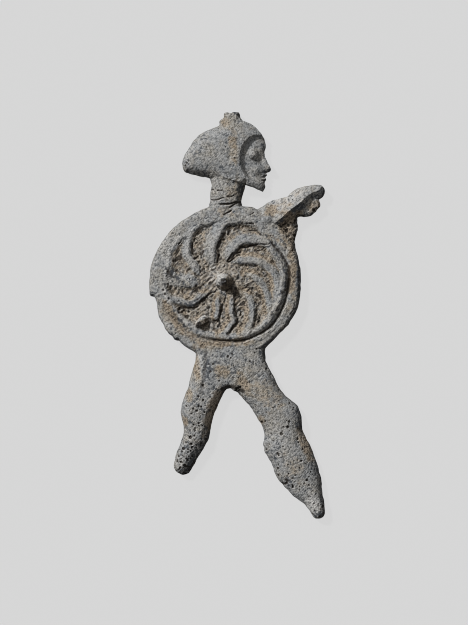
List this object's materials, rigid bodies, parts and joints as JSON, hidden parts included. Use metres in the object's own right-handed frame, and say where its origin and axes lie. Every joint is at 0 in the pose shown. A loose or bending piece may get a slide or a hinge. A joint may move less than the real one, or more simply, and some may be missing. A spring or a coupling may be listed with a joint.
{
  "type": "warrior figurine",
  "caption": "Flat cast lead votive figurine of a striding warrior in profile behind a round shield with a raised whirl, lying on its plain back.",
  "frame": {"origin": "on the resting surface, under the middle of the figurine's bounding box as it lies on its back", "axes": "+Z out of the relief, away from the flat back; +Y from the feet to the head; +X the way that the warrior faces and strides"},
  "size_m": [0.02, 0.0458, 0.003],
  "materials": {
    "lead": null
  },
  "bodies": {
    "root": {"warrior_figurine": "lead"}
  },
  "joints": []
}
